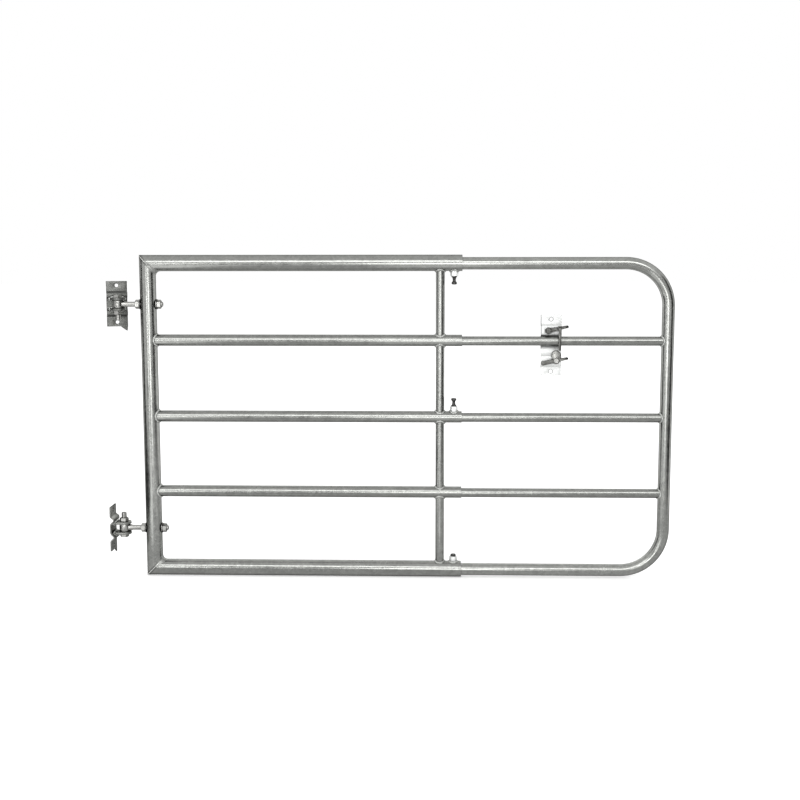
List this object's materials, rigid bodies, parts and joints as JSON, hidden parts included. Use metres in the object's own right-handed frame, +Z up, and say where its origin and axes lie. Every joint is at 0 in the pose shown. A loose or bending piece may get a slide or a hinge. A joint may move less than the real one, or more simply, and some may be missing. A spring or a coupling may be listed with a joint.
{
  "type": "extendable tubular cattle gate",
  "caption": "Galvanised tubular field gate leaf with an end frame that slides in sleeve tubes, lock screws, eyebolt post hinges and a pawl catch clipped on a bar",
  "frame": {"origin": "centre of the back face of the lower hinge plate, where it is screwed to a gate post", "axes": "+X from the hinge side to the latch end along the leaf, +Y to the back, +Z up; the front faces -Y"},
  "size_m": [1.5676, 0.0699, 0.9001],
  "materials": {
    "galvanised_tube": "hot-dip galvanised, satin, mottled spangle",
    "dark_screw": "darkened galvanised steel, worn",
    "zinc_hardware": "bright zinc, satin",
    "galvanised_plate": "hot-dip galvanised plate, dull",
    "pawl_zinc": "zinc-plated pressing with dark thumb ends and grime in its corners"
  },
  "bodies": {
    "lower_hinge": {"lower_hinge_plate": "galvanised_plate", "lower_hinge_ears": "galvanised_plate", "lower_hinge_bolt": "zinc_hardware", "lower_hinge_nut": "zinc_hardware"},
    "leaf": {"hinge_post": "galvanised_tube", "top_sleeve": "galvanised_tube", "bottom_sleeve": "galvanised_tube", "upper_sleeve_bar": "galvanised_tube", "middle_sleeve_bar": "galvanised_tube", "lower_sleeve_bar": "galvanised_tube", "upright_1": "galvanised_tube", "upright_2": "galvanised_tube", "upright_3": "galvanised_tube", "upright_4": "galvanised_tube", "top_lock_boss": "galvanised_tube", "middle_lock_boss": "galvanised_tube", "bottom_lock_boss": "galvanised_tube", "top_lock_screw": "dark_screw", "middle_lock_screw": "dark_screw", "bottom_lock_screw": "dark_screw", "upper_eyebolt": "zinc_hardware", "upper_inner_washer": "zinc_hardware", "upper_inner_nut": "zinc_hardware", "upper_outer_washer": "zinc_hardware", "upper_outer_nut": "zinc_hardware", "lower_eyebolt": "zinc_hardware", "lower_inner_washer": "zinc_hardware", "lower_inner_nut": "zinc_hardware", "lower_outer_washer": "zinc_hardware", "lower_outer_nut": "zinc_hardware"},
    "end_slide": {"end_frame": "galvanised_tube", "upper_slide_bar": "galvanised_tube", "middle_slide_bar": "galvanised_tube", "lower_slide_bar": "galvanised_tube"},
    "upper_hinge": {"upper_hinge_plate": "galvanised_plate", "upper_hinge_ears": "galvanised_plate", "upper_hinge_bolt": "zinc_hardware", "upper_hinge_nut": "zinc_hardware"},
    "catch": {"catch_plate": "galvanised_plate", "upper_pawl_bolt": "pawl_zinc", "upper_pawl_nut": "pawl_zinc", "lower_pawl_bolt": "pawl_zinc", "lower_pawl_nut": "pawl_zinc"},
    "top_pawl": {"upper_pawl": "pawl_zinc"},
    "bottom_pawl": {"lower_pawl": "pawl_zinc"}
  },
  "joints": [
    {"name": "gate_swing", "type": "hinge", "parent": "lower_hinge", "child": "leaf", "pos_m": [0.034, 0, 0], "axis": [0, 0, 1], "range_deg": [-90, 90]},
    {"name": "leaf_extension", "type": "slide", "parent": "leaf", "child": "end_slide", "axis": [1, 0, 0], "range_m": [-0.21, 0.2]},
    {"name": "upper_plate_swivel", "type": "hinge", "parent": "leaf", "child": "upper_hinge", "pos_m": [0.034, 0, 0.6295], "axis": [0, 0, 1], "range_deg": [-25, 160]},
    {"name": "catch_slide", "type": "slide", "parent": "end_slide", "child": "catch", "axis": [1, 0, 0], "range_m": [0, 0.22]},
    {"name": "upper_pawl_lift", "type": "hinge", "parent": "catch", "child": "top_pawl", "pos_m": [1.22175, 0, 0.55726], "axis": [0, -1, 0], "range_deg": [0, 90]},
    {"name": "lower_pawl_lift", "type": "hinge", "parent": "catch", "child": "bottom_pawl", "pos_m": [1.24375, 0, 0.47481], "axis": [0, -1, 0], "range_deg": [0, 40]}
  ]
}
